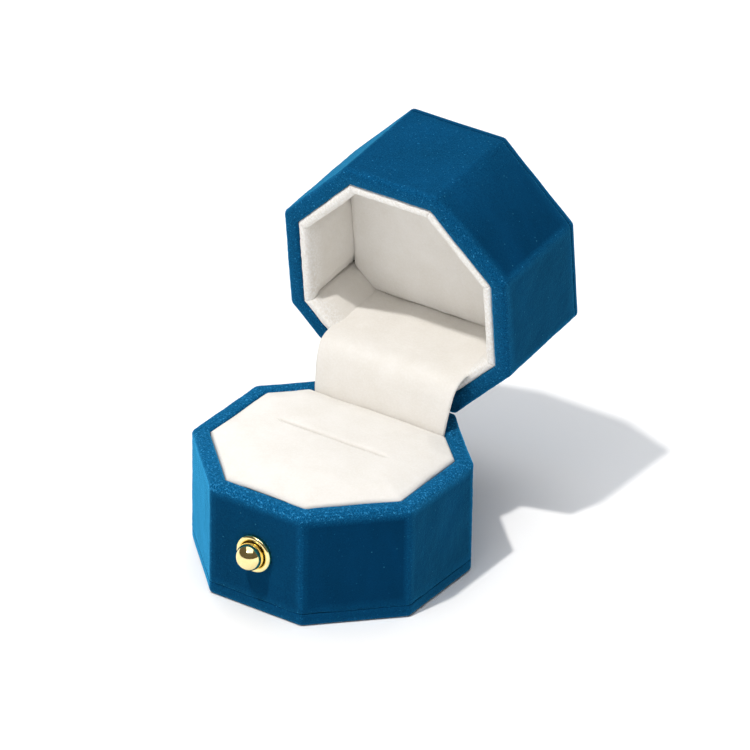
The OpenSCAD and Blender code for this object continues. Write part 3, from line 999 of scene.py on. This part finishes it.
def make_ball():
    """The ball with its short skirt, then the stem."""
    skirt_end = BEZEL_LOW.y + SKIRT_DEPTH
    skirt_r, tip_r = 0.3 * MM, 0.2 * MM
    profile = arc((0, BALL_LOW.y + BALL_R), BALL_R, -90, 0, 40)
    profile += arc((BALL_R - skirt_r, skirt_end - skirt_r), skirt_r, 0, 90, 5)
    profile += [(STEM_R, skirt_end), (STEM_R, BALL_HIGH.y - tip_r)]
    profile += [(STEM_R - tip_r, BALL_HIGH.y), (0, BALL_HIGH.y)]
    obj = lathe("ball", profile, BUTTON)
    set_material(obj, GOLD)
    return obj


bezel = make_bezel()
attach(bezel, "base")
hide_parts("button_bezel")

ball = make_ball()
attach(ball, "button")
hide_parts("button_ball")

# ---------- Floor, light and camera ----------

FLOOR_COLUMNS = 96
FLOOR_LEVEL_R = 2.0
FLOOR_R = 3.4
FLOOR_RISE = 0.28


def floor_paint():
    """Matt, nearly white."""
    s = Shader("floor", Roughness=0.9, Specular_IOR_Level=0.05)
    s.paint(s.mix(s.noise(3, 2, 0.5), (0.95, 0.955, 0.96, 1), (0.97, 0.975, 0.98, 1)))
    return s.material


def floor():
    """A plain pale floor that rises softly, far away, to a low backdrop."""
    level = np.linspace(0.15, FLOOR_LEVEL_R, 10)
    rising = np.linspace(FLOOR_LEVEL_R + 0.1, FLOOR_R, 14)
    rings = np.concatenate([[0.02], level, rising])
    turns = np.linspace(0, 2 * math.pi, FLOOR_COLUMNS + 1)[:-1]
    points = []
    for r in rings:
        height = FLOOR_RISE * max(0.0, r - FLOOR_LEVEL_R) ** 2
        points += [(r * math.cos(a), r * math.sin(a), height) for a in turns]
    faces = grid_faces(len(rings), FLOOR_COLUMNS, True)
    faces.append(tuple(range(FLOOR_COLUMNS)))
    obj = make_object("floor", points, faces)
    set_material(obj, floor_paint())


class Sky(Nodes):
    """World nodes: a dim studio and, overhead, one long soft window."""

    def __init__(self):
        world = bpy.data.worlds.new("studio")
        world.use_nodes = True
        super().__init__(world.node_tree)
        self.direction = self.node("ShaderNodeTexCoord").outputs["Generated"]
        bpy.context.scene.world = world

    def dot(self, axis):
        made = self.node("ShaderNodeVectorMath", operation="DOT_PRODUCT")
        self.feed(made, {0: self.direction, 1: axis})
        return made.outputs["Value"]

    def fade(self, value, start, end):
        """1 before start, falling to 0 at end."""
        return self.remap(value, start, end, 1.0, 0.0, "SMOOTHSTEP")


VIEW_TURN = math.radians(33.9)
WINDOW_SIDE = (0.40, 0.50)
WINDOW_FAR_END = (2.2, 2.8)
WINDOW_NEAR_END = (0.50, 0.64)
DIM = (0.133, 0.118, 0.098, 1)
BRIGHT = (1.75, 1.80, 1.88, 1)


def world():
    """The window runs from above the front right corner over the top towards the back left.

    Its sides and ends are slopes from straight overhead, where it starts to fade and where it ends.
    """
    sky = Sky()
    across = sky.dot((math.cos(VIEW_TURN), math.sin(VIEW_TURN), 0.0))
    back = sky.dot((-math.sin(VIEW_TURN), math.cos(VIEW_TURN), 0.0))
    height = sky.math("MAXIMUM", sky.dot((0.0, 0.0, 1.0)), 0.02)
    side = sky.fade(sky.math("ABSOLUTE", sky.math("DIVIDE", across, height)), *WINDOW_SIDE)
    slope = sky.math("DIVIDE", back, height)
    far_end = sky.fade(slope, *WINDOW_FAR_END)
    near_end = sky.fade(sky.math("MULTIPLY", slope, -1.0), *WINDOW_NEAR_END)
    window = sky.math("MULTIPLY", side, sky.math("MULTIPLY", far_end, near_end))
    sky.feed(sky.tree.nodes["Background"], {"Color": sky.mix(window, DIM, BRIGHT)})


def sun(name, towards, strength, spread, colour, gloss=True):
    """A distant lamp; towards points from the box to the lamp."""
    data = bpy.data.lights.new(name, "SUN")
    data.energy = strength
    data.color = colour
    data.angle = math.radians(spread)
    obj = bpy.data.objects.new(name, data)
    obj.rotation_mode = "QUATERNION"
    obj.rotation_quaternion = Vector(towards).to_track_quat("Z", "Y")
    obj.visible_glossy = gloss
    bpy.context.scene.collection.objects.link(obj)


def camera():
    """The photograph's view: a long lens from the front right, above."""
    azimuth, elevation, roll = VIEW_TURN, math.radians(29.6), 0.015
    distance, aim = 1.287, Vector((0, 0, 0.030))
    slide, lift = 7.93 * MM, 7.75 * MM
    level = math.cos(elevation)
    back = Vector((math.sin(azimuth) * level, -math.cos(azimuth) * level, math.sin(elevation)))
    right = Vector((math.cos(azimuth), math.sin(azimuth), 0))
    up = back.cross(right)
    rolled_right = right * math.cos(roll) + up * math.sin(roll)
    rolled_up = up * math.cos(roll) - right * math.sin(roll)
    data = bpy.data.cameras.new("camera")
    data.lens = 330.2
    data.sensor_width = 36
    data.clip_end = 20
    obj = bpy.data.objects.new("camera", data)
    place = aim + back * distance + rolled_right * slide + rolled_up * lift
    axes = Matrix((rolled_right, rolled_up, back)).transposed().to_4x4()
    obj.matrix_world = Matrix.Translation(place) @ axes
    bpy.context.scene.collection.objects.link(obj)
    bpy.context.scene.camera = obj


floor()
world()
sun("key", (-0.104, -0.412, 0.905), 1.9, 2.5, (1.0, 0.97, 0.93))
sun("fill", (-0.10, -0.93, 0.35), 0.50, 70, (1.0, 0.99, 0.97), gloss=False)
camera()
bpy.context.scene.view_settings.view_transform = "Standard"
